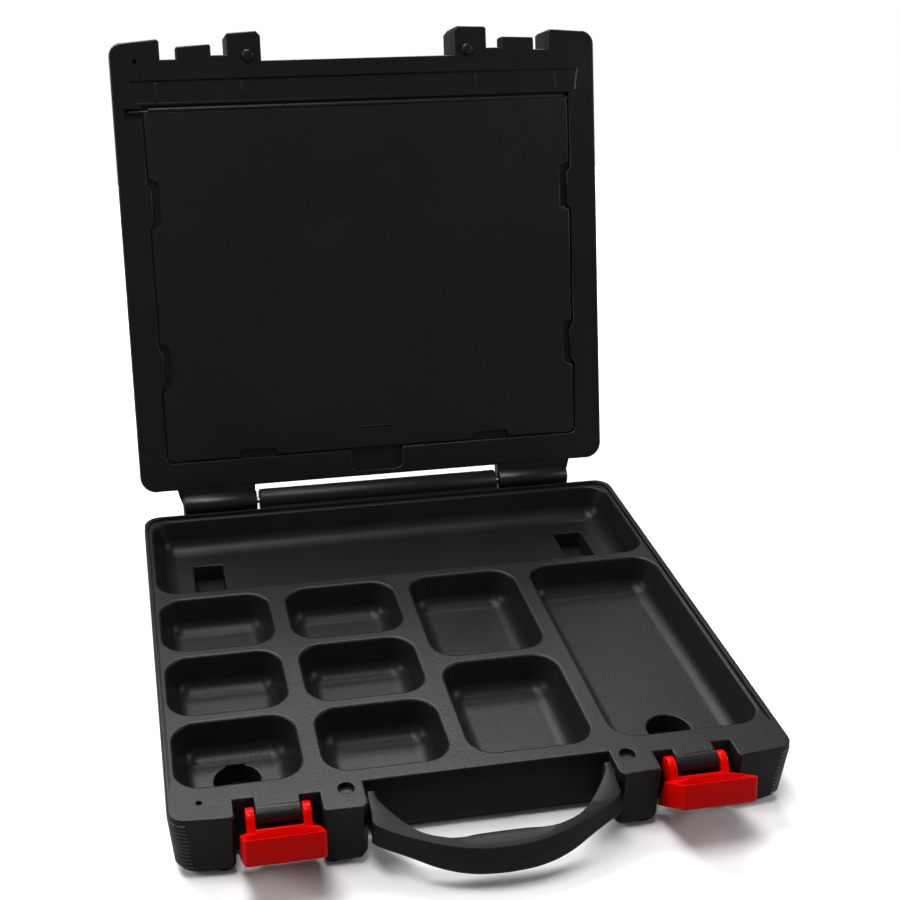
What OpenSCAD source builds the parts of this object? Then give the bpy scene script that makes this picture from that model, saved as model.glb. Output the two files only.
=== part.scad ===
// Open blow-moulded tool case: hollow base and lid, hinged cover panel,
// folding carry handle, two latches and two hinge pins. Millimetres, +Z up,
// origin at the centre of the base's underside, front of the case towards -Y.

/* [Case] */
// Width of each half
case_w = 340; // [338:1:343]
// Depth from the front corners to the rear wall
case_d = 307.5; // [306:0.5:310]
// Height of the base
base_h = 39; // [38:0.5:40]
// Height of the lid
lid_h = 36; // [36:0.5:38]
// How far the front edge bows out at the middle
bow = 7.3; // [5:0.1:8]
// Thickness of the moulded skins
wall = 2; // [1.6:0.1:2.2]
// Outer radius of the rear corners
rear_r = 11; // [8:0.5:13]
// Outer radius of the front corners
front_r = 9; // [6:0.5:10]

/* [Pockets] */
// Depth of the tray pockets
pocket_deep = 21; // [18:0.5:22]
// Radius of a pocket's corners at its mouth
pocket_r = 14; // [12:0.5:16]
// How far a pocket's wall leans in before its floor fillet
pocket_draft = 3; // [2:0.5:4]
// Radius of the fillet round a pocket's floor
pocket_fillet = 9; // [6:0.5:10]
// Depth of the wells below the pocket floors
well_deep = 12; // [9:0.5:12]

/* [Hinge] */
// Distance of the hinge axis behind the rear wall
hinge_back = 11.5; // [11:0.1:13]
// Radius of the hinge knuckles
knuckle_r = 8; // [7:0.1:8.2]
// Half width of the base's knuckle
base_knuckle = 87; // [84:0.5:88]
// Radius of the steel hinge pins
pin_r = 2; // [1.8:0.1:2.2]
// How far the lid stands open from closed
open_angle = 107; // [90:1:108]

/* [Latches] */
// Distance of each latch from the middle
latch_x = 113.4; // [112:0.1:114.5]
// Width of a latch
latch_w = 41; // [38:0.5:42]
// How far the latches stand open from closed
latch_angle = 70; // [65:1:72]

/* [Handle] */
// Width of the handle over its arms
handle_w = 133; // [131:0.5:133.5]
// Thickness of the handle's grip
handle_t = 16; // [13:0.5:17]
// Thickness of the handle's arms
arm_t = 11.5; // [10:0.5:11.5]
// How far the handle hangs below level
handle_droop = 18; // [0:1:22]

/* [Hidden] */
$fn = 64;
front = -case_d / 2;
rear = case_d / 2;
part_z = base_h;
hinge_y = rear + hinge_back;
bow_half = case_w / 2 - 5;
bow_r = (bow_half * bow_half + bow * bow) / (2 * bow);
big = 400;

// Front recesses: the handle's in the middle and one for each latch
handle_recess = 67.5;
handle_wall = 12.8;
latch_in = 91.2;
latch_out = 136;
latch_wall = 14.4;
tab_in = 101.6;
tab_out = 125.3;
tab_front = 2.3;
tab_back = 16;
tab_h = 10.8;

// Latch pivot, seen from the side
latch_y = front + 3;
latch_z = part_z - 7;
barrel_r = 4.5;
nub_r = 2.04;
nub_bore = 2.1;
nub_long = 3.6;

// Handle pivot
grip_y = front + 4;
grip_z = part_z - 7;
stub_r = 3;
stub_bore = 3.06;

// Locating pegs of the lid and their holes in the base
peg_x = 76.8;
peg_y = front + 9.8;
peg_r = 3.9;
peg_high = 2.6;

// Tray layout: edges of the pocket mouths from left to right and front to back
cols = [[-163.6, -96.6], [-84.8, -16.4]];
rows = [[24, 76], [84, 137.5], [145.5, 199.5]];
mid_x = [-4.8, 63.8];
mid_rows = [[24, 105.2], [113.2, 199.5]];
large_x = [75.7, 161.6];
large_y = [24, 199.5];
trough_x = [-163.6, 161.6];
trough_y = [208, 298];
well_r = 12.7;
slot_well = [20, 36];
slot_well_x = 128;

POCKETS = concat(
  [for (c = cols, r = rows) [c[0], c[1], front + r[0], front + r[1]]],
  [for (r = mid_rows) [mid_x[0], mid_x[1], front + r[0], front + r[1]]],
  [[large_x[0], large_x[1], front + large_y[0], front + large_y[1]],
   [trough_x[0], trough_x[1], front + trough_y[0], front + trough_y[1]]]);
floor_z = part_z - pocket_deep;

// Panel and its seat in the lid, measured in the closed case
panel_x = 149.4;
panel_y = [42.4, 287.2];
panel_t = 2.4;
panel_z = part_z + 1.2;
seat_x = 150.4;
seat_y = [41, 288];
seat_deep = 3.8;
panel_axis_y = front + 45.2;
panel_axis_z = part_z + 2.6;
panel_stub_r = 1.2;
panel_bore = 1.26;
panel_swing = 3.5;
notch_x = 18.5;
notch_end = 303.5;
bin_x = 142.5;
bin_y = [52, 279];
bin_deep = 26;

module at_hinge(a) {
  translate([0, hinge_y, part_z]) rotate([a, 0, 0]) translate([0, -hinge_y, -part_z]) children();
}

module bow_disc(back) {
  translate([0, front - bow + bow_r + back]) circle(r = bow_r, $fn = 720);
}

module rounded(x0, x1, y0, y1, r) {
  union() {
    translate([x0 + r, y0]) square([x1 - x0 - 2 * r, y1 - y0]);
    translate([x0, y0 + r]) square([x1 - x0, y1 - y0 - 2 * r]);
    for (x = [x0 + r, x1 - r], y = [y0 + r, y1 - r]) translate([x, y]) circle(r = r);
  }
}

// Plan of one half: bowed front, handle recess and latch recesses
module half_plan() {
  difference() {
    intersection() {
      union() {
        rounded(-case_w / 2, case_w / 2, front, rear, rear_r);
        rounded(-case_w / 2, case_w / 2, front, rear - 40, front_r);
        translate([-latch_out - 12, front - bow - 1]) square([2 * latch_out + 24, 60]);
      }
      bow_disc(0);
    }
    translate([-handle_recess, front - 20]) square([2 * handle_recess, 20 + handle_wall]);
    for (s = [-1, 1]) {
      difference() {
        translate([s > 0 ? latch_in : -latch_out, front - 20]) square([latch_out - latch_in, 60]);
        bow_disc(latch_wall);
      }
    }
  }
}

// Plan of the hollow inside a half: the body and the two front corner blocks
module hollow_plan() {
  half = case_w / 2 - wall;
  rounded(-half, half, front + 22, rear - wall, rear_r - wall);
  for (s = [-1, 1]) {
    translate([s > 0 ? latch_out + wall : -half + 6, front + 4]) square([half - latch_out - wall - 6, 40]);
  }
}

// One ring of a rounded rectangle, corner by corner
function corner_ring(b, inset, r, z) = [
  for (q = [0:3], i = [0:5])
    let (a = 90 * q + 18 * i,
         cx = (q == 0 || q == 3) ? b[1] - inset - r : b[0] + inset + r,
         cy = (q < 2) ? b[3] - inset - r : b[2] + inset + r)
    [cx + r * cos(a), cy + r * sin(a), z]];

// Drafted pocket with a filleted floor, lofted through rings from floor to mouth
module pocket(b) {
  knee = floor_z + pocket_fillet;
  levels = concat(
    [for (i = [0:3]) let (t = 22.5 + 22.5 * i)
      [pocket_draft + pocket_fillet * (1 - sin(t)), knee - pocket_fillet * cos(t)]],
    [[0, part_z], [0, part_z + 5]]);
  first = [[pocket_draft + pocket_fillet * 0.9, floor_z]];
  all_levels = concat(first, levels);
  rings = [for (l = all_levels) corner_ring(b, l[0], max(pocket_r - l[0], 2.5), l[1])];
  n = len(rings[0]);
  m = len(rings);
  points = [for (r = rings, p = r) p];
  sides = [for (j = [0:m - 2], i = [0:n - 1])
    [j * n + i, (j + 1) * n + i, (j + 1) * n + (i + 1) % n, j * n + (i + 1) % n]];
  lower = [[for (i = [0:n - 1]) i]];
  upper = [[for (i = [0:n - 1]) m * n - 1 - i]];
  polyhedron(points = points, faces = concat(lower, sides, upper));
}

// Solid left round each pocket so that its skin keeps its thickness
module pocket_skins() {
  for (b = POCKETS) {
    translate([0, 0, floor_z - wall]) linear_extrude(part_z - floor_z + wall + 1)
      rounded(b[0] - wall, b[1] + wall, b[2] - wall, b[3] + wall, pocket_r + wall);
  }
}

module wells(grow, low) {
  for (x = [(cols[0][0] + cols[0][1]) / 2, (large_x[0] + large_x[1]) / 2])
    translate([x, front + 50, low]) cylinder(r = well_r + grow, h = floor_z - low + 3);
  for (s = [-1, 1])
    translate([s * slot_well_x, front + (trough_y[0] + trough_y[1]) / 2, low + (floor_z - low + 3) / 2])
      cube([slot_well[0] + 2 * grow, slot_well[1] + 2 * grow, floor_z - low + 3], center = true);
}

module seal_groove() {
  translate([0, 0, part_z - 3]) linear_extrude(4) difference() {
    rounded(-case_w / 2 + 3.4, case_w / 2 - 3.4, front + 31, rear - 1.8, 8);
    rounded(-case_w / 2 + 5.4, case_w / 2 - 5.4, front + 20, rear - 6.4, 7);
    translate([-big, front - 5]) square([2 * big, 36.1]);
  }
}

// A tab between two latch slots, from its front edge back into the body
module tabs(z, h) {
  for (s = [-1, 1])
    translate([s > 0 ? tab_in : -tab_out, front + tab_front, z])
      cube([tab_out - tab_in, tab_back - tab_front, h]);
}

module base_shell() {
  color([0.11, 0.11, 0.115]) difference() {
    union() {
      linear_extrude(part_z) half_plan();
      tabs(part_z - 11.5, 11.5);
      for (s = [-1, 1])
        translate([s > 0 ? tab_in : -tab_out, latch_y, latch_z]) rotate([0, 90, 0])
          cylinder(r = barrel_r, h = tab_out - tab_in);
      translate([-base_knuckle, hinge_y, part_z]) rotate([0, 90, 0])
        cylinder(r = knuckle_r, h = 2 * base_knuckle);
      translate([-base_knuckle, rear - 1, part_z - knuckle_r])
        cube([2 * base_knuckle, hinge_back + 1, knuckle_r]);
    }
    // hollow between the skins, with the vent that the moulding leaves
    difference() {
      translate([0, 0, wall]) linear_extrude(part_z - 2 * wall - 1.6) hollow_plan();
      pocket_skins();
      wells(wall, 0);
    }
    translate([-153, front + 12, part_z - 12]) cylinder(r = 1.5, h = 14, $fn = 24);
    for (b = POCKETS) pocket(b);
    wells(0, floor_z - well_deep);
    seal_groove();
    for (s = [-1, 1]) {
      translate([s * peg_x, peg_y, part_z - 3]) cylinder(r = peg_r + 0.35, h = 5);
      translate([s * (handle_recess - 1), grip_y, grip_z]) rotate([0, s * 90, 0])
        cylinder(r = stub_bore, h = 8.6);
      translate([s * (base_knuckle + 1), hinge_y, part_z]) rotate([0, -s * 90, 0])
        cylinder(r = pin_r - 0.03, h = 28);
      for (x = [tab_in - 1, tab_out + 1 - nub_long - 1.4])
        translate([s > 0 ? x : -x - nub_long - 1.4, latch_y, latch_z]) rotate([0, 90, 0])
          cylinder(r = nub_bore, h = nub_long + 1.4);
    }
  }
}

// Trough that the panel's pivot edge turns in
module panel_swing_room(grow) {
  translate([-seat_x - grow, panel_axis_y, panel_axis_z]) rotate([0, 90, 0])
    cylinder(r = panel_swing + grow, h = 2 * (seat_x + grow));
}

// Lid, drawn closed over the base
module lid_closed() {
  difference() {
    union() {
      translate([0, 0, part_z + 0.15]) linear_extrude(lid_h - 0.15) half_plan();
      tabs(part_z + 0.15, tab_h - 0.15);
      for (s = [-1, 1]) {
        translate([s * peg_x, peg_y, part_z - peg_high]) cylinder(r = peg_r, h = peg_high + 2);
        translate([s * (base_knuckle + 2), hinge_y, part_z]) rotate([0, s * 90, 0])
          cylinder(r = knuckle_r, h = 52);
        translate([0, 0, part_z + 0.15]) linear_extrude(knuckle_r - 0.15) polygon([
          [s * (base_knuckle + 2), rear - 1], [s * 144.5, rear - 1],
          [s * 141, hinge_y], [s * (base_knuckle + 2), hinge_y]]);
        // heel that meets the rear wall of the base when the lid is open
        translate([s * 115, hinge_y, part_z]) rotate([open_angle, 0, 0])
          translate([-14, -hinge_back + 0.3, -5]) cube([28, hinge_back - 0.3, 5]);
      }
    }
    // hollow between the skins, with its vent
    difference() {
      translate([0, 0, part_z + seat_deep + wall]) linear_extrude(lid_h - seat_deep - 2 * wall) hollow_plan();
      translate([0, 0, part_z]) linear_extrude(bin_deep + wall)
        rounded(-bin_x - wall, bin_x + wall, front + bin_y[0] - wall, front + bin_y[1] + wall, 10 + wall);
      panel_swing_room(wall);
    }
    translate([-152.5, front + 12, part_z - 2]) cylinder(r = 1.5, h = 14, $fn = 24);
    // seat of the panel, its finger notch and the bin behind it
    translate([0, 0, part_z - 2]) linear_extrude(seat_deep + 2) union() {
      rounded(-seat_x, seat_x, front + seat_y[0], front + seat_y[1], 3);
      rounded(-notch_x, notch_x, front + 270, front + notch_end, 4);
    }
    translate([0, 0, part_z + 1]) linear_extrude(bin_deep - 1)
      rounded(-bin_x, bin_x, front + bin_y[0], front + bin_y[1], 10);
    translate([-157, front + 25, part_z - 2]) cube([314, 17, 3.2]);
    panel_swing_room(0);
    // open slot for one panel stub, bore for the other
    translate([-162.5, panel_axis_y - 2.2, part_z - 2]) cube([14, 5.2, panel_axis_z - part_z + 4]);
    translate([seat_x - 1, panel_axis_y, panel_axis_z]) rotate([0, 90, 0])
      cylinder(r = panel_bore, h = 7, $fn = 32);
    for (s = [-1, 1])
      translate([s * base_knuckle, hinge_y, part_z]) rotate([0, s * 90, 0])
        cylinder(r = pin_r + 0.06, h = 60);
  }
}

module lid_shell() {
  color([0.08, 0.08, 0.085]) at_hinge(-open_angle) lid_closed();
}

// Flat cover with side notches, pivot stubs and a finger edge
module panel_closed() {
  difference() {
    union() {
      translate([0, 0, panel_z]) linear_extrude(panel_t)
        rounded(-panel_x, panel_x, front + panel_y[0], front + panel_y[1], 3);
      translate([-panel_x + 4, panel_axis_y - 1, panel_z + panel_t / 2]) rotate([0, 90, 0])
        cylinder(r = 1.8, h = 2 * panel_x - 8);
      translate([-160, panel_axis_y, panel_axis_z]) rotate([0, 90, 0])
        cylinder(r = panel_stub_r, h = 14, $fn = 32);
      translate([146, panel_axis_y, panel_axis_z]) rotate([0, 90, 0])
        cylinder(r = panel_stub_r, h = 10, $fn = 32);
    }
    for (s = [-1, 1], y = [90, 203])
      translate([s > 0 ? panel_x - 6.5 : -panel_x - 1, front + y, panel_z - 1]) cube([7.5, 34, panel_t + 2]);
  }
}

module cover_panel() {
  color([0.09, 0.09, 0.095]) at_hinge(-open_angle) panel_closed();
}

// D-shaped handle, level, with its pivot axis at the origin
module handle_flat() {
  half = handle_w / 2;
  difference() {
    intersection() {
      union() {
        translate([-half, -60, 4.5 - arm_t]) cube([2 * half, 60 + 4.6, arm_t]);
        translate([-half, -60, 4.5 - handle_t]) cube([2 * half, 60 - 15, handle_t]);
      }
      translate([0, 76.4, -30]) cylinder(r = 119.6, h = 60, $fn = 180);
    }
    intersection() {
      translate([0, 32.3, -30]) cylinder(r = 70.5, h = 60, $fn = 180);
      translate([-half + 5, -27.8, -30]) cube([2 * half - 10, 60, 60]);
    }
  }
  for (s = [-1, 1]) translate([s * (half - 1), 0, 0]) rotate([0, s * 90, 0]) cylinder(r = stub_r, h = 8);
}

module carry_handle() {
  color([0.16, 0.16, 0.165]) translate([0, grip_y, grip_z]) rotate([handle_droop, 0, 0]) handle_flat();
}

// Side outline of a latch in its own frame: along the rim, then out of the tray
function latch_side() = [[3.8, -6.6], [33.8, -6.6], [27.8, -19.6], [-12, -20.2]];
function latch_hollow() = [[6, -6], [31.2, -6], [26.4, -17.7], [-4, -17.9]];

// Latch with its pivot at the origin, rim lying along +Y and the tray below it
module latch_body() {
  half = latch_w / 2;
  arm_in = (tab_out - tab_in) / 2 + 0.4;
  rotate([90, 0, 90]) translate([0, 0, -half]) difference() {
    linear_extrude(latch_w) polygon(latch_side());
    translate([0, 0, 2]) linear_extrude(latch_w - 4) polygon(latch_hollow());
  }
  for (s = [-1, 1]) {
    translate([s > 0 ? arm_in : -arm_in - 5, 0, 0]) rotate([90, 0, 90]) linear_extrude(5) union() {
      circle(r = 6);
      polygon([[-5.6, -2], [-1, -15], [8, -15], [8, -6.6], [5.6, 2]]);
    }
    translate([s > 0 ? arm_in - nub_long : -arm_in - 1, 0, 0]) rotate([0, 90, 0])
      cylinder(r = nub_r, h = nub_long + 1);
  }
  // hook rib, crowned across the tray
  intersection() {
    translate([-half + 1, 17.6, -18]) cube([latch_w - 2, 2, 20]);
    translate([0, 0, -4.4 - 90]) rotate([90, 0, 0]) translate([0, 0, -40]) cylinder(r = 90, h = 80, $fn = 180);
  }
}

module latch(s) {
  color([0.82, 0.05, 0.03]) translate([s * latch_x, latch_y, latch_z])
    rotate([-36.9, 0, 0]) mirror([0, 1, 0]) latch_body();
}

module latch_left() { latch(-1); }
module latch_right() { latch(1); }

module hinge_pin(s) {
  color([0.7, 0.7, 0.72]) translate([s * (base_knuckle - 26), hinge_y, part_z]) rotate([0, s * 90, 0])
    cylinder(r = pin_r, h = 76);
}

module hinge_pin_left() { hinge_pin(-1); }
module hinge_pin_right() { hinge_pin(1); }

base_shell();
lid_shell();
cover_panel();
carry_handle();
latch_left();
latch_right();
hinge_pin_left();
hinge_pin_right();
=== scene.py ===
import math
import bmesh
import bpy
from mathutils import Matrix, Vector
from mathutils.geometry import tessellate_polygon


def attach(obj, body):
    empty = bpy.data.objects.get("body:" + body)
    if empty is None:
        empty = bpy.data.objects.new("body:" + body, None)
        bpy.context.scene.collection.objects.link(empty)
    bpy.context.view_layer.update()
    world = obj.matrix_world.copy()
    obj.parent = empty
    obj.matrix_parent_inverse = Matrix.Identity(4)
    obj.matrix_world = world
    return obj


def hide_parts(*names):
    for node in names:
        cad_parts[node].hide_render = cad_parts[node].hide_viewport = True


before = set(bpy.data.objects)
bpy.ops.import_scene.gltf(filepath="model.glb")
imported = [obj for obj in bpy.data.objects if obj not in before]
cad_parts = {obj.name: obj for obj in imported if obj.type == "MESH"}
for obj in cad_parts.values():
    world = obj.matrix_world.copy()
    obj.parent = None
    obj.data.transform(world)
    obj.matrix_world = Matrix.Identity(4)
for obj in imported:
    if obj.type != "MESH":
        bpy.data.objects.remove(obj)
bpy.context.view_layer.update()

mm = 0.001
caseSize = {"width": 338.8, "depth": 307.5, "baseHigh": 39.0, "lidHigh": 36.0, "frontRound": 9.0,
            "rearRound": 11.0, "bow": 7.3, "hingeBack": 11.5, "openAngle": 107.0, "sideDraft": 3.6,
            "draftFrom": 156.5, "bowHalf": 165.0}
frontY = -caseSize["depth"] / 2
hingePoint = Vector((0, -frontY + caseSize["hingeBack"], caseSize["baseHigh"]))
lidTurn = (Matrix.Translation(hingePoint) @ Matrix.Rotation(math.radians(-caseSize["openAngle"]), 4, "X")
           @ Matrix.Translation(-hingePoint))


# everything is drawn in millimetres until a piece is finished
def insetRing(points, inset):
    # moves a closed outline towards its inside by the same distance all round
    count = len(points)
    moved = []
    for i in range(count):
        before, here, after = points[i - 1], points[i], points[(i + 1) % count]
        a = Vector((here[0] - before[0], here[1] - before[1])).normalized()
        b = Vector((after[0] - here[0], after[1] - here[1])).normalized()
        na, nb = Vector((-a.y, a.x)), Vector((-b.y, b.x))
        step = (na + nb) * (inset / max(1 + na.dot(nb), 0.35))
        moved.append((here[0] + step.x, here[1] + step.y))
    return moved


def roundedRing(x0, x1, y0, y1, radius, steps=8):
    points = []
    corners = [(x1 - radius, y1 - radius, 0), (x0 + radius, y1 - radius, 90),
               (x0 + radius, y0 + radius, 180), (x1 - radius, y0 + radius, 270)]
    for cx, cy, start in corners:
        for i in range(steps + 1):
            angle = math.radians(start + 90 * i / steps)
            points.append((cx + radius * math.cos(angle), cy + radius * math.sin(angle)))
    return points


def circleRing(cx, cy, radius, count=40):
    return [(cx + radius * math.cos(2 * math.pi * i / count),
             cy + radius * math.sin(2 * math.pi * i / count)) for i in range(count)]


def sunk(outline, z, steps):
    # steps: list of (inset, rise) counted from the outline's own height
    return [(insetRing(outline, inset), z + rise) for inset, rise in steps]


def addRing(bm, points, z):
    return [bm.verts.new((p[0], p[1], z)) for p in points]


def bridge(bm, ringA, ringB):
    count = len(ringA)
    for i in range(count):
        j = (i + 1) % count
        bm.faces.new((ringA[i], ringA[j], ringB[j], ringB[i]))


def fillFlat(bm, rings):
    # fills one flat outline, less the outlines inside it
    verts = [v for ring in rings for v in ring]
    for tri in tessellate_polygon([[v.co.copy() for v in ring] for ring in rings]):
        bm.faces.new([verts[i] for i in tri])


def loft(bm, stages, capStart=False, capEnd=False):
    # stages: list of (outline, z); returns the vertex rings
    rings = [addRing(bm, points, z) for points, z in stages]
    for a, b in zip(rings, rings[1:]):
        bridge(bm, a, b)
    if capStart:
        fillFlat(bm, [rings[0]])
    if capEnd:
        fillFlat(bm, [rings[-1]])
    return rings


def tube(bm, start, end, profile, sides=40, cap=True):
    # profile: list of (share along the axis, radius)
    start, end = Vector(start), Vector(end)
    axis = (end - start).normalized()
    side = axis.orthogonal().normalized()
    other = axis.cross(side)
    rings = []
    for share, radius in profile:
        centre = start.lerp(end, share)
        rings.append([bm.verts.new(centre + radius * (math.cos(2 * math.pi * i / sides) * side
                      + math.sin(2 * math.pi * i / sides) * other)) for i in range(sides)])
    for a, b in zip(rings, rings[1:]):
        bridge(bm, a, b)
    if cap:
        bm.faces.new(list(reversed(rings[0])))
        bm.faces.new(rings[-1])


def softBlock(bm, low, high, soft, turn=None):
    # a block with rounded edges, as its own closed solid
    block = bmesh.new()
    bmesh.ops.create_cube(block, size=1)
    low, high = Vector(low), Vector(high)
    for v in block.verts:
        v.co = Vector([low[k] + (v.co[k] + 0.5) * (high[k] - low[k]) for k in range(3)])
    bmesh.ops.bevel(block, geom=block.edges[:], offset=soft, segments=3, profile=0.5, affect="EDGES")
    if turn:
        block.transform(turn)
    joinInto(bm, block)


def joinInto(bm, extra):
    table = {}
    for v in extra.verts:
        table[v] = bm.verts.new(v.co)
    for f in extra.faces:
        bm.faces.new([table[v] for v in f.verts])
    extra.free()


def sideDraft(x, z):
    # the side walls lean in, away from the parting line
    rise = max(abs(z - caseSize["baseHigh"]) - 1, 0) / (caseSize["baseHigh"] - 1)
    share = min(max((abs(x) - caseSize["draftFrom"]) / 3, 0), 1)
    return x - math.copysign(caseSize["sideDraft"] * rise * share, x)


def finishPiece(name, bm, turn=None, sharpAngle=38, drafted=False):
    # closes a mesh up, sets its place in metres and shades it
    bmesh.ops.remove_doubles(bm, verts=bm.verts[:], dist=0.002)
    bmesh.ops.recalc_face_normals(bm, faces=bm.faces[:])
    if drafted:
        for v in bm.verts:
            v.co.x = sideDraft(v.co.x, v.co.z)
    if turn is not None:
        bm.transform(turn)
    bm.transform(Matrix.Scale(mm, 4))
    mesh = bpy.data.meshes.new(name)
    bm.to_mesh(mesh)
    bm.free()
    for poly in mesh.polygons:
        poly.use_smooth = True
    mesh.set_sharp_from_angle(angle=math.radians(sharpAngle))
    piece = bpy.data.objects.new(name, mesh)
    bpy.context.scene.collection.objects.link(piece)
    return piece


class Sock:
    # wraps a socket so that shader maths reads as plain expressions
    def __init__(self, tree, socket):
        self.tree, self.socket = tree, socket

    def maths(self, kind, *others):
        return makeNode(self.tree, "ShaderNodeMath", {"operation": kind}, dict(enumerate(others))).out()

    def __add__(self, other):
        return self.maths("ADD", self, other)

    def __radd__(self, other):
        return self.maths("ADD", other, self)

    def __sub__(self, other):
        return self.maths("SUBTRACT", self, other)

    def __rsub__(self, other):
        return self.maths("SUBTRACT", other, self)

    def __mul__(self, other):
        return self.maths("MULTIPLY", self, other)

    def __rmul__(self, other):
        return self.maths("MULTIPLY", other, self)


class MadeNode:
    def __init__(self, tree, node):
        self.tree, self.node = tree, node

    def out(self, key=0):
        return Sock(self.tree, self.node.outputs[key])


def makeNode(tree, kind, settings=None, inputs=None):
    node = tree.nodes.new(kind)
    for key, value in (settings or {}).items():
        if key == "stops":
            for element, (place, colour) in zip(node.color_ramp.elements, value):
                element.position, element.color = place, colour
        else:
            setattr(node, key, value)
    for key, value in (inputs or {}).items():
        if isinstance(value, Sock):
            tree.links.new(value.socket, node.inputs[key])
        else:
            node.inputs[key].default_value = value
    return MadeNode(tree, node)


def mouldedPlastic(name, finish):
    # moulded plastic: fine grain, slow colour drift, rubbed and duller patches
    material = bpy.data.materials.new(name)
    material.use_nodes = True
    tree = material.node_tree
    tree.nodes.clear()
    place = makeNode(tree, "ShaderNodeTexCoord").out("Object")

    def cloud(scale, detail):
        return makeNode(tree, "ShaderNodeTexNoise", None,
                        {"Vector": place, "Scale": scale, "Detail": detail}).out("Fac")

    grain = cloud(finish["grainScale"], 2.0)
    drift = cloud(9.0, 3.0)
    scuff = makeNode(tree, "ShaderNodeValToRGB", {"stops": [(0.52, (0, 0, 0, 1)), (0.75, (1, 1, 1, 1))]},
                     {"Fac": cloud(34.0, 6.0)}).out("Color")
    tint = makeNode(tree, "ShaderNodeMix", {"data_type": "RGBA"},
                    {"Factor": drift, 6: (*finish["dark"], 1), 7: (*finish["light"], 1)}).out(2)
    speckle = makeNode(tree, "ShaderNodeMix", {"data_type": "RGBA"},
                       {"Factor": grain, 6: (0.35, 0.35, 0.35, 1), 7: (1.5, 1.5, 1.5, 1)}).out(2)
    speckled = makeNode(tree, "ShaderNodeMix", {"data_type": "RGBA", "blend_type": "MULTIPLY"},
                        {"Factor": finish["speck"], 6: tint, 7: speckle}).out(2)
    rough = finish["rough"] + (drift - 0.5) * 0.12 + scuff * finish["scuff"] + (grain - 0.5) * 0.10
    fine = makeNode(tree, "ShaderNodeBump", None, {"Strength": finish["bump"], "Distance": finish["depth"],
                                                   "Height": grain}).out("Normal")
    wavy = makeNode(tree, "ShaderNodeBump", None, {"Strength": 0.25, "Distance": 0.0012, "Normal": fine,
                                                   "Height": cloud(finish["waveScale"], 1.0)}).out("Normal")
    shader = makeNode(tree, "ShaderNodeBsdfPrincipled", None, {
        "Base Color": speckled, "Roughness": rough, "Normal": wavy,
        "Specular IOR Level": finish["gloss"]}).out("BSDF")
    makeNode(tree, "ShaderNodeOutputMaterial", None, {"Surface": shader})
    return material


caseFinish = {"dark": (0.0050, 0.0050, 0.0053), "light": (0.0082, 0.0082, 0.0086), "rough": 0.35,
              "scuff": 0.05, "bump": 0.75, "depth": 0.00022, "grainScale": 1300.0, "waveScale": 22.0,
              "speck": 0.55, "gloss": 0.17}
# lighter copy of the case plastic for the side ribs: painted highlight, so the ribs read as lit dashes
litRibFinish = dict(caseFinish, dark=(0.030, 0.030, 0.031), light=(0.052, 0.052, 0.053), rough=0.38,
                    gloss=0.4, bump=0.2)
# darker copies of the case plastic for the lid and its panel: painted shade on the lid's inner face
shadedInnerFinish = dict(caseFinish, dark=(0.0030, 0.0030, 0.0032), light=(0.0050, 0.0050, 0.0052), rough=0.33,
                   bump=0.45, gloss=0.28)
shadedPanelFinish = dict(shadedInnerFinish, rough=0.38, grainScale=1100.0)
handleFinish = dict(caseFinish, light=(0.0085, 0.0085, 0.0090), rough=0.42, grainScale=1900.0)
latchFinish = {"dark": (0.42, 0.001, 0.0006), "light": (0.56, 0.002, 0.001), "rough": 0.26, "scuff": 0.06,
               "bump": 0.08, "depth": 0.00008, "grainScale": 700.0, "waveScale": 60.0, "speck": 0.06,
               "gloss": 0.05}
casePlastic = mouldedPlastic("casePlastic", caseFinish)
litRibPlastic = mouldedPlastic("litRibPlastic", litRibFinish)
shadedLidPlastic = mouldedPlastic("shadedLidPlastic", shadedInnerFinish)
shadedPanelPlastic = mouldedPlastic("shadedPanelPlastic", shadedPanelFinish)
handlePlastic = mouldedPlastic("handlePlastic", handleFinish)
latchPlastic = mouldedPlastic("latchPlastic", latchFinish)


def drawnSteel():
    # drawn wire: fine lines along its length
    material = bpy.data.materials.new("drawnSteel")
    material.use_nodes = True
    tree = material.node_tree
    tree.nodes.clear()
    place = makeNode(tree, "ShaderNodeTexCoord").out("Object")
    mapped = makeNode(tree, "ShaderNodeMapping", None, {"Vector": place, "Scale": (30, 2600, 2600)}).out()
    lines = makeNode(tree, "ShaderNodeTexNoise", None,
                     {"Vector": mapped, "Scale": 1.0, "Detail": 3.0}).out("Fac")
    tint = makeNode(tree, "ShaderNodeMix", {"data_type": "RGBA"},
                    {"Factor": lines, 6: (0.42, 0.42, 0.43, 1), 7: (0.66, 0.66, 0.67, 1)}).out(2)
    bump = makeNode(tree, "ShaderNodeBump", None,
                    {"Strength": 0.2, "Distance": 0.00005, "Height": lines}).out("Normal")
    shader = makeNode(tree, "ShaderNodeBsdfPrincipled", None, {
        "Base Color": tint, "Roughness": 0.22 + lines * 0.16, "Normal": bump, "Metallic": 1.0}).out("BSDF")
    makeNode(tree, "ShaderNodeOutputMaterial", None, {"Surface": shader})
    return material


print("materials made")

# outline of one half of the case; x from its middle, y from its front corners towards the hinge
outlineSize = {"recessHalf": 67.5, "recessWall": 13.6, "earOut": 91.0, "latchOut": 136.0,
               "tabIn": 101.6, "tabOut": 125.3, "slotIn": 9.2, "slotOut": 11.2}


def bowY(x):
    # y of the bowed front, which comes furthest forward in the middle
    radius = (caseSize["bowHalf"] ** 2 + caseSize["bow"] ** 2) / (2 * caseSize["bow"])
    return radius - caseSize["bow"] - math.sqrt(radius * radius - x * x)


def cornerArc(cx, cy, radius, start, sweep, steps=8):
    turns = [math.radians(start + sweep * i / steps) for i in range(steps + 1)]
    return [(cx + radius * math.cos(turn), cy + radius * math.sin(turn)) for turn in turns]


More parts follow.
